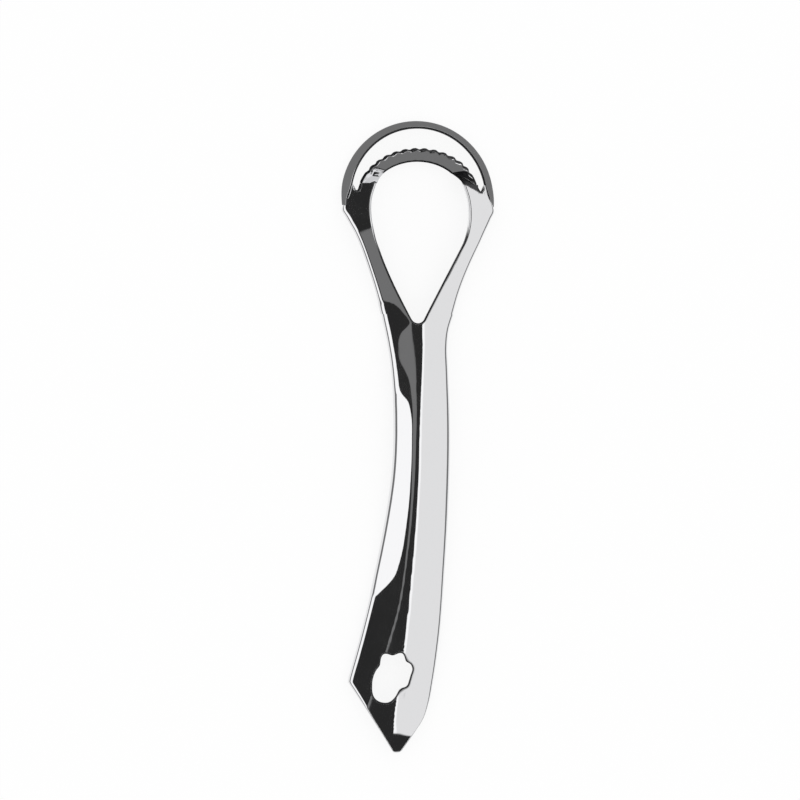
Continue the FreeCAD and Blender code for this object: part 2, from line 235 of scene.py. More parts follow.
# Mesh columns across a side: those of the top that the inner edge takes, the top, the rim's bend, the rim's
# lip, and the first and last of the underside
EDGE_COLUMNS = 9
TOP_COLUMNS = 46
ARC_COLUMNS = 9
LIP_COLUMNS = 7
FIRST_UNDER = TOP_COLUMNS + ARC_COLUMNS - 1 + LIP_COLUMNS
LAST_UNDER = FIRST_UNDER + TOP_COLUMNS - 1
# Width of the inner edge's columns: a multiple of its rounding plus a margin, and at most a share of the top
EDGE_SPREAD = 1.2
EDGE_MARGIN = 0.3
EDGE_SHARE = 0.3
# Mesh rows along the handle and the arms: single rows at the tip, stretches as (start, stop, step),
# and rows that close up towards the fork's end and open out past it
TIP_ROWS = [0.02, 0.06, 0.13, 0.22, 0.34, 0.48, 0.64, 0.82, 1.05, 1.4]
HANDLE_ROWS = [(1.8, 14.8, 0.4), (14.8, 18.2, 0.17), (18.2, 97.0, 0.45)]
ROWS_BEFORE_FORK = 12
ROWS_PAST_FORK = 22
ARM_ROWS = [(ARM_SEAM, 117.0, 0.4), (117.0, SLOT_SEAM, 0.2)]
# Mesh round the hole: the stretch along the handle that its rings fill, the columns left outside it,
# the rings on the face and those on the rounded edge
HOLE_BLOCK = (10.2, 25.0)
HOLE_MARGIN = 5
HOLE_RINGS = 9
ROUND_RINGS = 6
# Mesh of the blades: columns across each face and round each edge, and rows along them
FACE_COLUMNS = 25
TURN_COLUMNS = 9
SMOOTH_ROWS = 240
SERRATED_ROWS = 420
# Points that agree to this many digits of a mm are one
WELD_DIGITS = 4

# Steel: its bright colour, the near-black of its dark edges, which are partly dull shear-cut steel and
# partly painted dark reflection, and the roughness that smudges give it and that full dullness adds
BRIGHT_STEEL = (0.8, 0.8, 0.81)
# Near-black: a painted dark reflection on the edges, darker than dull shear-cut steel.
DULL_AND_PAINTED_DARK_STEEL = (0.03, 0.03, 0.032)
SMUDGE_RANGE = (0.35, 0.75)
POLISH_RANGE = (0.03, 0.085)
WORN_ROUGHNESS = 0.3
# Its finish: waves per metre on each axis and noise detail, and heights in metres
SMUDGE_NOISE = ((180.0, 180.0, 180.0), 3.0)
WAVE_NOISE = ((260.0, 260.0, 260.0), 1.0)
WAVE_HEIGHT = 2.0e-5
LINE_NOISE = ((5000.0, 160.0, 5000.0), 2.0)
LINE_HEIGHT = 1.0e-6

# Studio tones as the polished metal sees them: (degrees from straight up towards the right, tone)
WHITE = 1.16
PALE = 0.91
GREY = 0.19
DARK = 0.025
STUDIO_BANDS = [(-90, WHITE), (-32.5, WHITE), (-31.5, DARK), (-20.6, DARK), (-19.6, GREY), (-6.6, GREY),
                (-5.4, DARK), (9.5, DARK), (10.5, WHITE), (16, WHITE), (18, PALE), (90, PALE)]
FRONT_BANDS = STUDIO_BANDS[:8] + [(32, DARK), (33, PALE), (90, PALE)]
BACK_BANDS = [(-90, DARK), (8, DARK), (12, WHITE), (90, WHITE)]
# Where the front bands, the back bands and the grey surround take over, by the direction's Y, Y and Z
FRONT_CARD = (-0.31, -0.27)
BACK_CARD = (0.42, 0.5)
HORIZON = (0.4, 0.46)

# Floor, in metres: half its width, its gap below the part, its tone, and the share of it that takes shadows
FLOOR_SIZE = 3.0
FLOOR_GAP = 0.0002
FLOOR_TONE = 0.97
SHADOW_SHARE = 0.2

# Camera: it stands over the part and leans towards the object's left
CAMERA_ROLL = math.radians(12.0)
CAMERA_TARGET = (-4.33, 8.34, 2.25)
CAMERA_DISTANCE = 600.0
VIEW_WIDTH = 183.2
SENSOR_WIDTH = 36.0


def smooth(table, along):
    """Values of a table at places along the part, on a smooth curve through its points."""
    places, values = np.array(table, float).T
    spans = np.diff(places)
    steps = np.diff(values) / spans
    tangents = np.concatenate([steps[:1], (steps[:-1] * spans[1:] + steps[1:] * spans[:-1])
                               / (spans[1:] + spans[:-1]), steps[-1:]])
    along = np.clip(along, places[0], places[-1])
    k = np.clip(np.searchsorted(places, along, "right") - 1, 0, len(spans) - 1)
    u = (along - places[k]) / spans[k]
    return (values[k] * (1 + 2 * u) * (1 - u) ** 2 + values[k + 1] * u * u * (3 - 2 * u)
            + spans[k] * (tangents[k] * u * (1 - u) ** 2 - tangents[k + 1] * u * u * (1 - u)))


def ramp(start, stop, value):
    """0 up to start and 1 from stop on, eased between them; stop may be the lower of the two."""
    u = np.clip((value - start) / (stop - start), 0.0, 1.0)
    return u * u * (3 - 2 * u)


def rounded(gap, radius):
    """How far a rounded edge lies below its face, at a gap from the edge."""
    inside = np.clip(1 - gap / radius, 0.0, 1.0)
    return radius * (1 - np.sqrt(1 - inside ** 2))


def soft_max(values, softness):
    """The larger of several values, with a soft change from one to the next."""
    values = np.stack(values)
    return softness * np.log(np.exp((values - values.max(0)) / softness).sum(0)) + values.max(0)


def unit(vectors):
    return vectors / np.maximum(np.linalg.norm(vectors, axis=-1, keepdims=True), TINY)


def closed(grid):
    """The grid with its first ring column repeated at the end."""
    return np.concatenate([grid, grid[:, :1]], 1)


def left_folds(along):
    """Distances from the crease at which the left flank reaches its slopes."""
    near = smooth(FOLD_NEAR, along)
    far = np.maximum(smooth(FOLD_FAR, along), near + FOLD_GAP)
    steep = np.maximum(smooth(FOLD_STEEP, along), far + FOLD_GAP)
    past_far = far + np.minimum(FOLD_WIDTH, (steep - far) / 2)
    before_steep = steep - np.minimum(FOLD_WIDTH, (steep - past_far) / 2)
    return [np.zeros_like(near), near, far, past_far, before_steep, steep, steep + STEEP_WIDTH]


def left_fall(off, along):
    """Fall and slope of the left flank at a distance from the crease."""
    folds = left_folds(along)
    fall = np.zeros_like(off)
    slope = np.full_like(off, FOLD_SLOPES[-1])
    for k in range(len(folds) - 1):
        span = folds[k + 1] - folds[k]
        inside = np.clip(off - folds[k], 0, span)
        steeper = (FOLD_SLOPES[k + 1] - FOLD_SLOPES[k]) / span
        fall += inside * (FOLD_SLOPES[k] + steeper * inside / 2)
        slope = np.where((off >= folds[k]) & (off < folds[k + 1]), FOLD_SLOPES[k] + steeper * inside, slope)
    return fall + np.maximum(off - folds[-1], 0) * FOLD_SLOPES[-1], slope


def face(x, along):
    """Height of the sheet's upper face: two flanks that meet in a soft crease."""
    off = x - smooth(CREASE_X, along)
    left, _ = left_fall(np.maximum(-off, 0), along)
    softness = smooth(CREASE_SOFTNESS, along)
    away = np.maximum(off, 0) / softness
    right = softness * (away + np.log1p(np.exp(-2 * away)) - math.log(2)) * smooth(RIGHT_SLOPE, along)
    nose = NOSE_FALL * np.maximum(NOSE_START - along, 0) ** NOSE_POWER
    return smooth(CREASE_HEIGHT, along) - np.where(off < 0, left, right) - nose


def rise(x, along):
    """Slope of the upper face across the part."""
    off = x - smooth(CREASE_X, along)
    _, left = left_fall(np.maximum(-off, 0), along)
    right = -smooth(RIGHT_SLOPE, along) * np.tanh(off / smooth(CREASE_SOFTNESS, along))
    return np.where(off < 0, left, right)


def arc_across(axes, along):
    """Distance from the middle to a blade's arc, at a place along the part."""
    return axes[0] * math.sqrt(1 - ((along - HEAD_CENTRE) / axes[1]) ** 2)


SLOT_OUTER = arc_across(OUTER_EDGE, SLOT_SEAM)
SLOT_INNER = arc_across(SERRATED_EDGE, SLOT_SEAM)
SLOT_MIDDLE = (SLOT_OUTER + SLOT_INNER) / 2
SLOT_RADIUS = (SLOT_OUTER - SLOT_INNER) / 2


def round_slot(x, along):
    """Places along the arms, drawn back where the slot's round end cuts into them."""
    across = np.abs(np.abs(x) - SLOT_MIDDLE) / SLOT_RADIUS
    depth = SLOT_DEPTH * np.maximum(1 - across ** SLOT_FULLNESS, 0) ** (1 / SLOT_FULLNESS)
    return along - depth * ramp(SLOT_SEAM - SLOT_BEND, SLOT_SEAM, along)


def slot_gap(x, along):
    """Distance from the round ends of the slot between the blades."""
    across = np.abs(np.abs(x) - SLOT_MIDDLE) / SLOT_RADIUS
    up = np.abs(along - SLOT_SEAM) / SLOT_DEPTH
    reach = np.maximum(across ** SLOT_FULLNESS + up ** SLOT_FULLNESS, TINY) ** (1 / SLOT_FULLNESS)
    power = SLOT_FULLNESS - 1
    steepness = np.hypot((across / reach) ** power / SLOT_RADIUS, (up / reach) ** power / SLOT_DEPTH)
    return (reach - 1) / steepness


def loop_gap(x, along):
    """Distance from the loop's inner edge: the fork's round end and sides, then the arms."""
    across = np.abs(x - smooth(FORK_SHIFT, along))
    up = along - FORK_ALONG
    beside = across * math.cos(FORK_LEAN) - up * math.sin(FORK_LEAN) - FORK_RADIUS
    below = np.hypot(across, up) - FORK_RADIUS
    fork = np.where(across * math.sin(FORK_LEAN) + up * math.cos(FORK_LEAN) > 0, beside, below)
    step = 0.05
    lean = np.arctan((smooth(ARM_INNER, along + step) - smooth(ARM_INNER, along - step)) / (2 * step))
    arm = (across - smooth(ARM_INNER, along)) * np.cos(lean)
    return np.where(along < ARM_SEAM, fork, arm)


def top(x, along):
    """Height of the upper side, with its edges at the loop, the slot's ends and the tip rounded."""
    gap = loop_gap(x, along)
    roll = ROLL_SLOPE * ROLL_WIDTH / 2 * np.clip(1 - gap / ROLL_WIDTH, 0, 1) ** 2
    return (face(x, along) - roll - rounded(gap, smooth(INNER_ROUND, along))
            - rounded(slot_gap(x, along), SLOT_ROUND) - rounded(along, TIP_RADIUS / 2))


def top_normal(x, along):
    step = 0.02
    across = (top(x + step, along) - top(x - step, along)) / (2 * step)
    up = (top(x, along + step) - top(x, along - step)) / (2 * step)
    return unit(np.stack([-across, -up, np.ones_like(across)], -1))


def under(x, along):
    """Height of the underside, a sheet's thickness below the face."""
    return face(x, along) - SHEET * np.sqrt(1 + rise(x, along) ** 2)


def under_normal(x, along):
    return -top_normal(x, along)


def sheared_and_painted_dark(gap):
    """Share of dark edge at a gap from a cut edge: partly dull shear-cut steel, partly painted dark
    reflection.
    """
    return np.clip(DARK_EDGE_STRENGTH * (1 - gap / SHEARED_AND_PAINTED_EDGE), 0, 1)


def loop_dull_and_painted_dark(along):
    """1 where the loop's inner edge is dark, dull steel with a painted dark reflection, 0 where it is
    bright.
    """
    return 1 - ramp(*INNER_DARK_FADES, along)


def slot_dull_and_painted_dark(x):
    """1 where the slot's round ends are dark, dull steel with a painted dark reflection, 0 on their outer
    sides.
    """
    return np.where(np.abs(x) < SLOT_MIDDLE + SLOT_RADIUS / 2, 1.0, 0.0)


def painted_wedge_dark(x, along):
    """The painted dark reflection on the facet at the serrated blade's right root runs on into the arm, in a
    wedge beside the slot.
    """
    root = ARM_INNER[-1][1]
    share = np.clip((x - root) / (SLOT_INNER - root), 0, 1)
    inside = (along > SLOT_SEAM - WEDGE_LENGTH * share) & (x > root) & (x < SLOT_MIDDLE)
    return np.where(inside, FACET_PAINTED_DARK, 0.0)


def face_outward(points, normals, wear_and_painted_dark):
    """Turns round, in place, the quads whose corners run against their normals."""
    facing = np.cross(points[:, 2] - points[:, 0], points[:, 3] - points[:, 1])
    turned = np.einsum("ij,ij->i", facing, normals.sum(1)) < 0
    for values in (points, normals, wear_and_painted_dark):
        values[turned] = values[turned][:, ::-1]


def quad_faces(corners, normals):
    """Faces of quads and the normals of their corners; a doubled corner makes a triangle."""
    repeated = corners == np.roll(corners, 1, axis=1)
    faces, facings = [], []
    for ids, double, directions in zip(corners, repeated, normals):
        if double.sum() < 2:
            faces.append(ids[~double].tolist())
            facings.append(directions[~double])
    return faces, facings


def cap_face(places, ids, normal):
    """A flat face through points, turned to look along a normal, and the normals of its corners."""
    ids = ids[ids != np.roll(ids, 1)]
    middle = places[ids].mean(0)
    area = np.cross(places[ids] - middle, places[np.roll(ids, -1)] - middle).sum(0)
    turned = ids if area @ normal > 0 else ids[::-1]
    return turned.tolist(), np.repeat(normal[None], len(ids), 0)


class Surface:
    """Faces with a normal and a share of dark edge at each corner, partly dull steel and partly painted dark
    reflection, gathered into one mesh.
    """

    def __init__(self):
        self.points, self.normals, self.wear_and_painted_dark = [], [], []
        self.caps = []

    def grid(self, points, normals, wear_and_painted_dark, keep=None):
        """A grid of quads, rows by columns; keep marks the quads that are wanted."""
        if keep is None:
            keep = np.ones((points.shape[0] - 1, points.shape[1] - 1), bool)
        for values, store in ((points, self.points), (normals, self.normals), (wear_and_painted_dark, self.wear_and_painted_dark)):
            corners = (values[:-1, :-1], values[:-1, 1:], values[1:, 1:], values[1:, :-1])
            store.append(np.stack(corners, 2)[keep])

    def cap(self, points, normal):
        """A flat face that closes an end."""
        self.caps.append((np.array(points, float), np.array(normal, float)))

    def build(self, name, material):
        """The mesh object, with its points welded and turned into metres."""
        points, normals = np.concatenate(self.points), np.concatenate(self.normals)
        wear_and_painted_dark = np.concatenate(self.wear_and_painted_dark)
        face_outward(points, normals, wear_and_painted_dark)
        loose = np.concatenate([points.reshape(-1, 3)] + [cap for cap, _ in self.caps])
        places, index = np.unique(np.round(loose, WELD_DIGITS), axis=0, return_inverse=True)
        index = index.reshape(-1)
        first = len(points) * 4
        corners = index[:first].reshape(-1, 4)
        faces, facings = quad_faces(corners, normals)
        for cap, normal in self.caps:
            ids, directions = cap_face(places, index[first:first + len(cap)], normal)
            first += len(cap)
            faces.append(ids)
            facings.append(directions)
        most = np.zeros(len(places), np.float32)
        np.maximum.at(most, corners.reshape(-1), wear_and_painted_dark.reshape(-1).astype(np.float32))

        mesh = bpy.data.meshes.new(name)
        metres = (places - (0, LENGTH / 2, BASE_HEIGHT)) * MM
        mesh.from_pydata(metres.tolist(), [], faces)
        # The stored share darkens the steel: dull shear-cut edges and painted dark reflections.
        mesh.attributes.new("edge_dull_and_painted_dark", "FLOAT", "POINT").data.foreach_set("value", most)
        mesh.normals_split_custom_set(np.concatenate(facings))
        mesh.materials.append(material)
        piece = bpy.data.objects.new(name, mesh)
        bpy.context.scene.collection.objects.link(piece)
        return piece


def grid_normals(points, upward):
    """Normals of a grid from its own slopes; upward names a column that faces up."""
    rows = np.gradient(points, axis=0)
    columns = np.gradient(points, axis=1)
    normals = unit(np.cross(columns, rows))
    if normals[:, upward, 2].mean() < 0:
        normals = -normals
    return normals


class Wing:
    """One side of the sheet between an inner and an outer outline, in rows along the part.

    Its columns run from the inner edge over the top, round the outer rim, back below, and round the lip
    that hangs at the inner edge. The underside's columns are the top's in reverse.
    """

    def __init__(self, side, along, outer, inner, middle, rim_share):
        width = np.abs(outer - middle) * 2
        self.side, self.along, self.outer, self.inner = side, along, outer, inner
        self.sheet = np.minimum(SHEET, SHEET_SHARE * width)
        self.reach = np.minimum(smooth(RIM_REACH, along), RIM_SHARE * width) * rim_share
        self.drop = RIM_DROP * np.minimum(1, self.reach)
        self.face_outer = outer - side * self.reach
        self.hang_width = np.minimum(self.sheet, HANG_SHARE * np.abs(inner - middle))
        self.columns, self.wear_and_painted_dark = [], []
        self.add_top()
        self.add_rim()
        self.add_underside()
        self.add_hanging_lip()

    def add(self, x, along, height, wear_and_painted_dark):
        self.columns.append(np.stack([x, along, height], -1))
        self.wear_and_painted_dark.append(np.broadcast_to(wear_and_painted_dark, along.shape))

    def top_places(self):
        """Places of the top's columns, closer together at the inner edge."""
        edge = smooth(INNER_ROUND, self.along) * EDGE_SPREAD + EDGE_MARGIN
        room = np.abs(self.face_outer - self.inner)
        offsets = [np.minimum(edge * (1 - math.cos(angle)), room * EDGE_SHARE)
                   for angle in np.linspace(0, math.pi / 2, EDGE_COLUMNS)]
        last = offsets[-1]
        for share in np.linspace(0, 1, TOP_COLUMNS - EDGE_COLUMNS + 1)[1:]:
            offsets.append(last * (1 - share) + room * share)
        return [self.inner + self.side * offset for offset in offsets]

    def add_top(self):
        for x in self.top_places():
            along = round_slot(x, self.along)
            # Dark loop and slot edges: dull steel with a painted dark reflection.
            loop_wear_and_painted_dark = sheared_and_painted_dark(loop_gap(x, along)) * loop_dull_and_painted_dark(self.along)
            cut_wear_and_painted_dark = np.maximum(loop_wear_and_painted_dark, sheared_and_painted_dark(slot_gap(x, along)) * slot_dull_and_painted_dark(x))
            # The wedge beside the slot is painted dark: a painted reflection.
            self.add(x, along, top(x, along), np.maximum(cut_wear_and_painted_dark, painted_wedge_dark(x, along)))

    def add_rim(self):
        """The bend down to the rim's wall, and the wall's rounded lower lip."""
        side, along, outer, reach, drop = self.side, self.along, self.outer, self.reach, self.drop
        start = top(self.face_outer, along)
        fall = side * -rise(self.face_outer, along) * reach
        for t in np.linspace(0, 1, ARC_COLUMNS)[1:]:
            height = start - fall * (2 * t - t * t) - drop * t * t
            self.add(outer - side * reach * (1 - t) ** 2, along, height, 0.0)
        low = start - fall - drop - RIM_WALL
        at_blade = ramp(*BLADE_JOINS, along)
        low += (np.minimum(low, EDGE_HEIGHT - BLADE_OVERLAP) - low) * at_blade
        half = self.sheet / 2 * (1 - THINNED_WALL * at_blade)
        for angle in np.linspace(0, math.pi, LIP_COLUMNS):
            height = low + half - half * math.sin(angle)
            # The right lip is painted darker: a painted reflection.
            self.add(outer - side * half * (1 - math.cos(angle)), along, height, RIM_LIP_PAINTED_DARK[side])

    def add_underside(self):
        side, along, inner, face_outer = self.side, self.along, self.inner, self.face_outer
        corner = self.outer - side * self.sheet * UNDER_CORNER
        under_inner = inner + side * self.hang_width
        for above in reversed(self.top_places()):
            x = under_inner + (corner - under_inner) * (above - inner) / (face_outer - inner)
            thick = self.sheet * np.sqrt(1 + rise(x, along) ** 2)
            past_face = (x - face_outer) * side
            bent = np.clip(np.abs(past_face) / self.reach * np.sign(past_face), 0, UNDER_BEND)
            drawn = round_slot(x, along)
            height = face(x, drawn) - thick - rounded(along, TIP_RADIUS / 2) - self.drop * bent ** 2
            self.add(x, drawn, height, 0.0)

    def add_hanging_lip(self):
        hang = smooth(INNER_HANG, self.along) * np.minimum(1, self.hang_width / SHEET)
        low = self.columns[-1][:, 2] - hang
        for across, share in HANG_SECTION:
            x = self.inner + self.side * self.hang_width * across
            self.add(x, self.along, low + hang * share, loop_dull_and_painted_dark(self.along))

    def grid(self):
        """Points, normals and wear, rows by columns."""
        points = np.stack(self.columns, 1)
        normals = grid_normals(points, TOP_COLUMNS // 2)
        upper = points[:, :TOP_COLUMNS]
        normals[:, :TOP_COLUMNS] = top_normal(upper[..., 0], upper[..., 1])
        # Points, normals and the share of dark edge, dull steel with painted dark reflection, rows by
        # columns.
        return points, normals, np.stack(self.wear_and_painted_dark, 1)


def tip_limit(along):
    """Half width of the round tip, which joins the straight sides."""
    reach = np.clip(along, 0.0, TIP_RADIUS)
    past_join = np.maximum(along - TIP_RADIUS * TIP_JOIN, 0)
    return np.sqrt(2 * TIP_RADIUS * reach - reach ** 2) + past_join * TIP_FLARE


def left_edge(along):
    outline = soft_max([smooth(LEFT_END, along), smooth(LEFT_SIDE, along)], CORNER_ROUNDING)
    return np.maximum(outline, TIP_X - tip_limit(along))


def right_edge(along):
    return np.minimum(smooth(RIGHT_SIDE, along), TIP_X + tip_limit(along))


def fork_half(along):
    """Half width of the fork's opening."""
    up = along - FORK_ALONG
    tangent = -FORK_RADIUS * math.sin(FORK_LEAN)
    low = np.sqrt(np.maximum(FORK_RADIUS ** 2 - np.minimum(up, 0) ** 2, 0))
    straight = (FORK_RADIUS + up * math.sin(FORK_LEAN)) / math.cos(FORK_LEAN)
    return np.where(up < tangent, low, straight)


def handle_rows():
    """Places of the handle's rows, and the index of the row where the fork opens."""
    fork_bottom = FORK_ALONG - FORK_RADIUS
    last_stop = HANDLE_ROWS[-1][1]
    before = np.concatenate([TIP_ROWS] + [np.arange(*stretch) for stretch in HANDLE_ROWS])
    closing = np.sin(np.linspace(0, math.pi / 2, ROWS_BEFORE_FORK))[:-1]
    opening = 1 - np.cos(np.linspace(0, math.pi / 2, ROWS_PAST_FORK))
    before = np.concatenate([before, last_stop + (fork_bottom - last_stop) * closing])
    after = fork_bottom + (ARM_SEAM - fork_bottom) * opening
    return np.concatenate([before, after]), len(before)


def make_handle(material):
    along, fork_row = handle_rows()
    left, right = left_edge(along), right_edge(along)
    plain_middle = left + (right - left) * smooth(MIDDLE_SHARE, along)
    to_fork = ramp(*MIDDLE_TO_FORK, along)
    middle = plain_middle * (1 - to_fork) + smooth(FORK_SHIFT, along) * to_fork
    opening = np.where(np.arange(len(along)) > fork_row, fork_half(along), 0.0)
    surface = Surface()
    for side, outer in ((-1, left), (1, right)):
        points, normals, wear_and_painted_dark = Wing(side, along, outer, middle + side * opening, middle, 1.0).grid()
        keep = np.ones((len(along) - 1, points.shape[1]), bool)
        keep[:fork_row, LAST_UNDER:] = False
        if side < 0:
            cut_hole(surface, points, np.searchsorted(along, HOLE_BLOCK), keep)
        surface.grid(closed(points), closed(normals), closed(wear_and_painted_dark), keep)
        surface.cap(points[0], (0, -1, 0))
        surface.cap(points[-1], (0, 1, 0))
    return surface.build("handle_body", material)


def cut_hole(surface, points, rows, keep):
    """Leaves out a block of the left wing, and fills it with rings that run in to the hole."""
    first, last = rows
    near, far = EDGE_COLUMNS, TOP_COLUMNS - HOLE_MARGIN
    keep[first:last, near:far] = False
    keep[first:last, LAST_UNDER - far:LAST_UNDER - near] = False
    border = [(i, near) for i in range(first, last + 1)]
    border += [(last, j) for j in range(near + 1, far + 1)]
    border += [(i, far) for i in range(last - 1, first - 1, -1)]
    border += [(first, j) for j in range(far - 1, near, -1)]
    above = np.array([points[i, j] for i, j in border])
    below = np.array([points[i, LAST_UNDER - j] for i, j in border])
    upper = hole_rings(above, top, top_normal, 1)
    lower = hole_rings(below, under, under_normal, -1)
    surface.grid(*[closed(values) for values in upper])
    surface.grid(*[closed(values) for values in lower])
    surface.grid(*[closed(np.array([over[-1], low[-1]])) for over, low in zip(upper, lower)])


def hole_reach(angle):
    """Distance from the hole's centre to its outline, in each direction."""
    first = HOLE_OUTLINE[0][0]
    return smooth(HOLE_OUTLINE, (np.degrees(angle) - first) % 360 + first)


def hole_rings(rim, surface_height, surface_normal, sign):
    """Rings from a block's border in to the hole's rounded edge: points, normals and the share of dark edge,
    dull steel with painted dark reflection.
    """
    centre = np.array(HOLE_CENTRE)
    ray = rim[:, :2] - centre
    angle = np.arctan2(ray[:, 1], ray[:, 0])
    outline = centre + hole_reach(angle)[:, None] * np.stack([np.cos(angle), np.sin(angle)], 1)
    length = np.linalg.norm(rim[:, :2] - outline, axis=1)
    inward = unit(outline - rim[:, :2])
    wall = np.concatenate([inward, np.zeros((len(rim), 1))], 1)
    gaps = [length * (1 - k / HOLE_RINGS) + HOLE_ROUND * k / HOLE_RINGS for k in range(HOLE_RINGS)]
    gaps += [np.full(len(rim), HOLE_ROUND * (1 - math.sin(a)))
             for a in np.linspace(0, math.pi / 2, ROUND_RINGS)]
    points, normals, wear_and_painted_dark = [], [], []
    for gap in gaps:
        place = outline - inward * gap[:, None]
        height = surface_height(place[:, 0], place[:, 1]) - sign * rounded(gap, HOLE_ROUND)
        tilt = np.clip(1 - gap / HOLE_ROUND, 0, 1)[:, None]
        flat = surface_normal(place[:, 0], place[:, 1])
        points.append(np.concatenate([place, height[:, None]], 1))
        normals.append(unit(flat * np.sqrt(1 - tilt ** 2) + wall * tilt))
        wear_and_painted_dark.append(sheared_and_painted_dark(gap))
    return np.array(points), np.array(normals), np.array(wear_and_painted_dark)


def make_arm(side, name, material):
    along = np.concatenate([np.arange(*stretch) for stretch in ARM_ROWS] + [[SLOT_SEAM]])
    shift = smooth(FORK_SHIFT, along)
    outer = side * smooth(ARM_OUTER, along) + shift / 2
    inner = side * smooth(ARM_INNER, along) + shift
    rim_share = 1 - (1 - FADED_RIM) * ramp(*OUTER_RIM_FADES, along)
    points, normals, wear_and_painted_dark = Wing(side, along, outer, inner, shift, rim_share).grid()
    surface = Surface()
    surface.grid(closed(points), closed(normals), closed(wear_and_painted_dark))
    surface.cap(points[0], (0, -1, 0))
    end = points[-1]
    wall = np.stack([end[:TOP_COLUMNS], end[FIRST_UNDER:LAST_UNDER + 1][::-1]])
    surface.grid(wall, np.zeros_like(wall) + (0, 1, 0), slot_dull_and_painted_dark(wall[..., 0]))
    surface.cap(end[TOP_COLUMNS - 1:FIRST_UNDER + 1], (0, 1, 0))
    surface.cap(np.concatenate([end[LAST_UNDER:], end[:1]]), (0, 1, 0))
    return surface.build(name, material)


def arc_angle(axes, start, u):
    """Angle on a blade arc, from its left end (u = 0) to its right end (u = 1)."""
    first = math.asin((start - HEAD_CENTRE) / axes[1])
    return math.pi - first - u * (math.pi - 2 * first)


def arch_share(u, start, stop):
    """0 near both ends of a blade, 1 over the middle of the arch."""
    return ramp(start, stop, u) * ramp(1 - start, 1 - stop, u)


def blade_lean(angle):
    """Lean from level of a blade's face that looks out in a direction."""
    return BLADE_LEAN - BLADE_LEAN_CHANGE * np.cos(angle)


def smooth_edge(u):
    angle = arc_angle(OUTER_EDGE, HEAD_CORNER, u)
    along = HEAD_CENTRE + OUTER_EDGE[1] * np.sin(angle)
    at_arm = ramp(SLOT_SEAM, HEAD_CORNER, along)
    flare = CORNER_FLARE * at_arm * np.sign(np.cos(angle))
    across = OUTER_EDGE[0] * np.cos(angle) + OUTER_EDGE_SHIFT * (1 - at_arm) + flare
    return np.stack([across, along, np.full_like(u, EDGE_HEIGHT)], -1)


def smooth_lip(u):
    angle = arc_angle(OUTER_LIP, HEAD_CORNER, u)
    return lip_below(smooth_edge(u), OUTER_LIP, angle, blade_lean(angle))


def serrated_edge(u):
    angle = arc_angle(SERRATED_EDGE, SLOT_SEAM, u)
    across = SERRATED_EDGE[0] * np.cos(angle)
    root = face(SLOT_INNER * np.sign(across), np.full_like(u, SLOT_SEAM))
    height = root + (SERRATED_HEIGHT - root) * arch_share(u, *SERRATED_DROP)
    return np.stack([across, HEAD_CENTRE + SERRATED_EDGE[1] * np.sin(angle), height], -1)


def serrated_lip(u):
    angle = arc_angle(INNER_LIP, SLOT_SEAM, u)
    return lip_below(serrated_edge(u), INNER_LIP, angle, blade_lean(angle + math.pi))


def lip_below(edge, axes, angle, lean):
    """Points of a lip's arc, as far below the blade's edge as the face's lean takes them."""
    across = axes[0] * np.cos(angle)
    along = HEAD_CENTRE + axes[1] * np.sin(angle)
    wide = np.hypot(across - edge[:, 0], along - edge[:, 1])
    return np.stack([across, along, edge[:, 2] - wide * np.tan(lean)], -1)


def notch_share(u, trail):
    """1 at each notch of the serrated edge, or a share of the pitch past it, and 0 between them."""
    last = NOTCH_COUNT - 1
    pitch = (1 - 2 * FIRST_NOTCH) / last
    phase = (u - FIRST_NOTCH) / pitch - trail
    outside, inside = NOTCH_FADE
    row = ramp(-outside, -inside, phase) * ramp(last + outside, last + inside, phase)
    return row * (0.5 + 0.5 * np.cos(2 * math.pi * phase)) ** NOTCH_POWER


def notches(u):
    return NOTCH_DEPTH * notch_share(u, 0.0)


def facet_bend(u):
    """Share of the serrated blade's width at which it bends into the facet at its root."""
    return np.clip(np.minimum(u, 1 - u) / ROOT_FACET, 0, 1)


def root_lift(u, share):
    """Height of the serrated blade's root facets and notch bevels over its leaning face."""
    root = serrated_lip(np.round(u))
    far_end = serrated_lip(np.where(u < 0.5, ROOT_FACET, 1 - ROOT_FACET))
    arm_height = face(root[:, 0], np.full_like(u, SLOT_SEAM))
    bend = facet_bend(u)
    straight = arm_height + (far_end[:, 2] - arm_height) * bend
    over = np.maximum(share - bend, 0) / np.maximum(1 - bend, TINY)
    bevel = BEVEL_DROP * max(1 - share / BEVEL_SHARE, 0) ** 2
    return over * (straight - serrated_lip(u)[:, 2]) - bevel * notch_share(u, BEVEL_TRAIL)


def painted_facet_dark(u, share):
    """The facet at the right root is painted dark: a painted reflection."""
    return np.where((u > 0.5) & (share > facet_bend(u)), FACET_PAINTED_DARK, 0.0)


def upright_root(u):
    """1 at the serrated blade's roots, where its thickness is upright like the arms', 0 past them."""
    return ramp(ROOT_TURN, 0.0, np.minimum(u, 1 - u))


def plain(u, share=0.0):
    """Nothing added to a blade, at any share of its length and width."""
    return np.zeros_like(u)


class BladeForm(NamedTuple):
    """A blade's curves by the share u of its length, its thickness, mesh rows and painted dark lip."""
    edge: Callable
    lip: Callable
    sheet: float
    rows: int
    lip_painted_dark: float = 0.0
    notch: Callable = plain
    lift: Callable = plain
    wear_and_painted_dark: Callable = plain
    upright: Callable = plain


SMOOTH_BLADE = BladeForm(smooth_edge, smooth_lip, BLADE_SHEET, SMOOTH_ROWS)
# The serrated blade's right root facet is painted dark: a painted reflection.
SERRATED_BLADE = BladeForm(serrated_edge, serrated_lip, SHEET, SERRATED_ROWS, lip_painted_dark=1.0, notch=notches,
                           lift=root_lift, wear_and_painted_dark=painted_facet_dark, upright=upright_root)


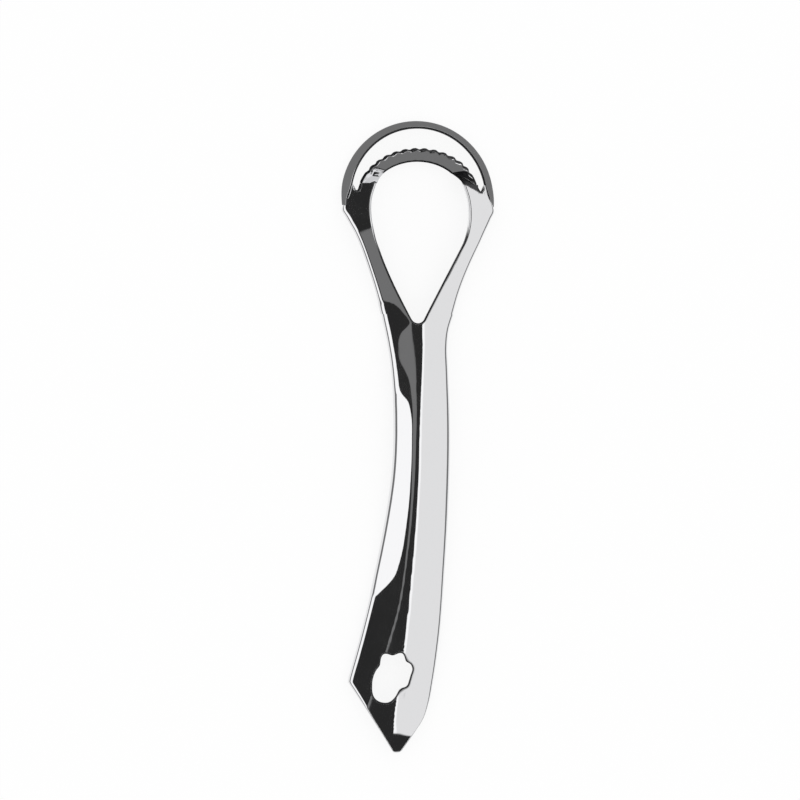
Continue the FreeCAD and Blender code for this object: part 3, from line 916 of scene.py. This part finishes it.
def blade_section():
    """Outline of a blade across its width: (share of the width, rounding at edge, at lip, depth share)."""
    flat = [(share, 0.0, 0.0, 0.0) for share in np.linspace(0.0, 1.0, FACE_COLUMNS)]
    turn = np.linspace(0, math.pi, TURN_COLUMNS)[1:-1]
    lip = [(1.0, 0.0, math.sin(a), -(1 - math.cos(a)) / 2) for a in turn]
    back = [(share, 0.0, 0.0, -1.0) for share in np.linspace(1.0, 0.0, FACE_COLUMNS)]
    edge = [(0.0, math.sin(a), 0.0, -(1 + math.cos(a)) / 2) for a in turn]
    return flat + lip + back + edge


def blade_wear_and_painted_dark(form, u, share, width, on_wall):
    """Dark share of one column of a blade, dull steel with painted dark reflection: on its edge's wall, on
    its lip, or on the face between them.
    """
    # The edge's wall is near-black: dull steel with a painted dark reflection.
    if on_wall:
        return np.ones_like(u)
    # The serrated blade's lip is painted dark, a painted reflection, except near the left root.
    if (1 - share) * width < LIP_PAINTED_DARK_WIDTH:
        return form.lip_painted_dark * np.where(u < 0.5, ramp(*LIP_DARK_STARTS, u), 1.0)
    # The line beside the edge is painted dark: a painted reflection.
    return np.maximum(form.wear_and_painted_dark(u, share), EDGE_LINE_PAINTED_DARK if share == 0 else 0.0)


def make_blade(name, form, material):
    """A leaning strip between an edge and a lip, with a dark wall along its edge, dull steel with a painted
    dark reflection.
    """
    u = np.linspace(0.0, 1.0, form.rows)
    step = 1e-3
    edge, lip = form.edge(u), form.lip(u)
    run = form.edge(u + step) + form.lip(u + step) - form.edge(u - step) - form.lip(u - step)
    across = lip - edge
    width = np.linalg.norm(across, axis=1)[:, None]
    across = across / width
    normal = unit(np.cross(run, across))
    normal = normal * np.sign(normal[:, 2:])
    inset = form.sheet * -across[:, 2:] / np.hypot(across[:, :1], across[:, 1:2])
    start = inset + EDGE_ROUND + form.notch(u)[:, None]
    stop = width - EDGE_ROUND
    points, wear_and_painted_dark = [], []
    for share, at_edge, at_lip, depth in blade_section():
        reach = start + (stop - start) * share + EDGE_ROUND * (at_lip - at_edge)
        upright = form.upright(u)[:, None] * share
        depth_way = unit(normal * (1 - upright) + upright * UP)
        lift = form.lift(u, share)[:, None] * UP
        points.append(edge + across * reach + depth_way * depth * form.sheet + lift)
        on_wall = at_edge > 0 or (share == 0 and depth < 0)
        wear_and_painted_dark.append(blade_wear_and_painted_dark(form, u, share, width.mean(), on_wall))
    points, wear_and_painted_dark = np.stack(points, 1), np.stack(wear_and_painted_dark, 1)
    ring = np.concatenate([points[:, -1:], points, points[:, :2]], 1)
    normals = grid_normals(ring, FACE_COLUMNS // 2)[:, 1:-1]
    surface = Surface()
    surface.grid(closed(points), normals, closed(wear_and_painted_dark))
    surface.cap(points[0], -unit(run[0]))
    surface.cap(points[-1], unit(run[-1]))
    return surface.build(name, material)


def polished_steel():
    """Mirror-polished sheet: faint waves, fine polishing lines, smudges, and near-black edges, partly dull
    shear-cut steel and partly painted dark reflection.
    """
    material = bpy.data.materials.new("polished_steel")
    material.use_nodes = True
    nodes, links = material.node_tree.nodes, material.node_tree.links
    shader = nodes["Principled BSDF"]
    shader.inputs["Metallic"].default_value = 1.0
    place = nodes.new("ShaderNodeTexCoord")
    worn_and_painted_dark = nodes.new("ShaderNodeAttribute")
    worn_and_painted_dark.attribute_name = "edge_dull_and_painted_dark"

    # Where the share is full the steel is near-black: a painted dark reflection over dull shear-cut steel.
    colour = nodes.new("ShaderNodeValToRGB")
    colour.color_ramp.elements[0].color = (*BRIGHT_STEEL, 1)
    colour.color_ramp.elements[1].color = (*DULL_AND_PAINTED_DARK_STEEL, 1)
    links.new(worn_and_painted_dark.outputs["Fac"], colour.inputs["Fac"])
    links.new(colour.outputs["Color"], shader.inputs["Base Color"])

    polish = nodes.new("ShaderNodeMapRange")
    polish.inputs["From Min"].default_value = SMUDGE_RANGE[0]
    polish.inputs["From Max"].default_value = SMUDGE_RANGE[1]
    polish.inputs["To Min"].default_value = POLISH_RANGE[0]
    polish.inputs["To Max"].default_value = POLISH_RANGE[1]
    links.new(noise(nodes, links, place, *SMUDGE_NOISE), polish.inputs["Value"])
    dull = nodes.new("ShaderNodeMath")
    dull.operation = "MULTIPLY_ADD"
    dull.inputs[1].default_value = WORN_ROUGHNESS
    links.new(worn_and_painted_dark.outputs["Fac"], dull.inputs[0])
    links.new(polish.outputs[0], dull.inputs[2])
    links.new(dull.outputs[0], shader.inputs["Roughness"])

    waves = bump(nodes, links, noise(nodes, links, place, *WAVE_NOISE), WAVE_HEIGHT)
    lines = bump(nodes, links, noise(nodes, links, place, *LINE_NOISE), LINE_HEIGHT)
    links.new(waves.outputs[0], lines.inputs["Normal"])
    links.new(lines.outputs[0], shader.inputs["Normal"])
    return material


def noise(nodes, links, place, scale, detail):
    """Noise over the object's own coordinates, with a number of waves per metre on each axis."""
    stretch = nodes.new("ShaderNodeMapping")
    stretch.inputs["Scale"].default_value = scale
    links.new(place.outputs["Object"], stretch.inputs["Vector"])
    texture = nodes.new("ShaderNodeTexNoise")
    texture.inputs["Scale"].default_value = 1.0
    texture.inputs["Detail"].default_value = detail
    links.new(stretch.outputs[0], texture.inputs["Vector"])
    return texture.outputs["Fac"]


def bump(nodes, links, relief, height):
    """A bump of a height in metres."""
    node = nodes.new("ShaderNodeBump")
    node.inputs["Strength"].default_value = 1.0
    node.inputs["Distance"].default_value = height
    links.new(relief, node.inputs["Height"])
    return node


def studio_world():
    """Plain white light, and for glossy rays the grey, white and dark cards of a studio."""
    world = bpy.data.worlds.new("studio")
    bpy.context.scene.world = world
    world.use_nodes = True
    nodes, links = world.node_tree.nodes, world.node_tree.links
    nodes.clear()
    place = nodes.new("ShaderNodeTexCoord")
    parts = nodes.new("ShaderNodeSeparateXYZ")
    links.new(place.outputs["Generated"], parts.inputs[0])
    turn = nodes.new("ShaderNodeMath")
    turn.operation = "ARCTAN2"
    links.new(parts.outputs["X"], turn.inputs[0])
    links.new(parts.outputs["Z"], turn.inputs[1])
    spread = nodes.new("ShaderNodeMapRange")
    spread.inputs["From Min"].default_value = -math.pi / 2
    spread.inputs["From Max"].default_value = math.pi / 2
    links.new(turn.outputs[0], spread.inputs["Value"])
    bands, front_bands, back_bands = (banded(nodes, links, spread.outputs[0], tones)
                                      for tones in (STUDIO_BANDS, FRONT_BANDS, BACK_BANDS))
    front = faded(nodes, links, parts.outputs["Y"], FRONT_CARD, bands, front_bands)
    around = faded(nodes, links, parts.outputs["Y"], BACK_CARD, back_bands, front)
    seen = faded(nodes, links, parts.outputs["Z"], HORIZON, around, None)
    rays = nodes.new("ShaderNodeLightPath")
    glossy = nodes.new("ShaderNodeBackground")
    links.new(seen, glossy.inputs["Color"])
    white = nodes.new("ShaderNodeBackground")
    white.inputs["Color"].default_value = (1, 1, 1, 1)
    white.inputs["Strength"].default_value = 1.0
    choose = nodes.new("ShaderNodeMixShader")
    links.new(rays.outputs["Is Glossy Ray"], choose.inputs[0])
    links.new(white.outputs[0], choose.inputs[1])
    links.new(glossy.outputs[0], choose.inputs[2])
    output = nodes.new("ShaderNodeOutputWorld")
    links.new(choose.outputs[0], output.inputs["Surface"])


def banded(nodes, links, value, bands):
    """A ramp of grey tones by angle, (degrees, tone)."""
    colours = nodes.new("ShaderNodeValToRGB")
    links.new(value, colours.inputs["Fac"])
    elements = colours.color_ramp.elements
    for index, (degrees, tone) in enumerate(bands):
        position = (degrees + 90) / 180
        element = elements[index] if index < 2 else elements.new(position)
        element.position = position
        element.color = (tone, tone, tone, 1)
    return colours.outputs["Color"]


def faded(nodes, links, value, limits, above, below):
    """One colour above the limits of a value, fading to another, or to the grey surround, below them."""
    share = nodes.new("ShaderNodeMapRange")
    share.inputs["From Min"].default_value = limits[0]
    share.inputs["From Max"].default_value = limits[1]
    links.new(value, share.inputs["Value"])
    mix = nodes.new("ShaderNodeMixRGB")
    links.new(share.outputs[0], mix.inputs["Fac"])
    links.new(above, mix.inputs["Color2"])
    if below:
        links.new(below, mix.inputs["Color1"])
    else:
        mix.inputs["Color1"].default_value = (GREY, GREY, GREY, 1)
    return mix.outputs["Color"]


def pale_floor():
    """White that keeps its brightness, with a share that shadows can darken."""
    material = bpy.data.materials.new("pale_floor")
    material.use_nodes = True
    nodes, links = material.node_tree.nodes, material.node_tree.links
    nodes.clear()
    shaded = nodes.new("ShaderNodeBsdfDiffuse")
    shaded.inputs["Color"].default_value = (FLOOR_TONE, FLOOR_TONE, FLOOR_TONE, 1)
    white = nodes.new("ShaderNodeEmission")
    white.inputs["Color"].default_value = (1, 1, 1, 1)
    mix = nodes.new("ShaderNodeMixShader")
    mix.inputs[0].default_value = SHADOW_SHARE
    links.new(white.outputs[0], mix.inputs[1])
    links.new(shaded.outputs[0], mix.inputs[2])
    output = nodes.new("ShaderNodeOutputMaterial")
    links.new(mix.outputs[0], output.inputs["Surface"])
    return material


def make_floor():
    corners = [(x * FLOOR_SIZE, y * FLOOR_SIZE, 0) for x, y in ((-1, -1), (1, -1), (1, 1), (-1, 1))]
    mesh = bpy.data.meshes.new("floor")
    mesh.from_pydata(corners, [], [(0, 1, 2, 3)])
    mesh.materials.append(pale_floor())
    floor = bpy.data.objects.new("floor", mesh)
    floor.location.z = cad_box[0].z - FLOOR_GAP
    bpy.context.scene.collection.objects.link(floor)


def make_camera():
    data = bpy.data.cameras.new("camera")
    data.sensor_width = SENSOR_WIDTH
    data.lens = SENSOR_WIDTH * CAMERA_DISTANCE / VIEW_WIDTH
    camera = bpy.data.objects.new("camera", data)
    bpy.context.scene.collection.objects.link(camera)
    back = Vector((-math.sin(CAMERA_ROLL), 0, math.cos(CAMERA_ROLL)))
    up = Vector((0, 1, 0))
    across = up.cross(back)
    spot = (Vector(CAMERA_TARGET) + back * CAMERA_DISTANCE) * MM
    camera.matrix_world = Matrix.Translation(spot) @ Matrix((across, up, back)).transposed().to_4x4()
    bpy.context.scene.camera = camera


steel = polished_steel()
pieces = {
    "handle": make_handle(steel),
    "left_arm": make_arm(-1, "left_arm_body", steel),
    "right_arm": make_arm(1, "right_arm_body", steel),
    "smooth_blade": make_blade("smooth_blade_body", SMOOTH_BLADE, steel),
    "serrated_blade": make_blade("serrated_blade_body", SERRATED_BLADE, steel),
}
for node, piece in pieces.items():
    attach(piece, "root")
    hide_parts(node)

studio_world()
make_floor()
make_camera()
bpy.context.scene.view_settings.view_transform = "Standard"
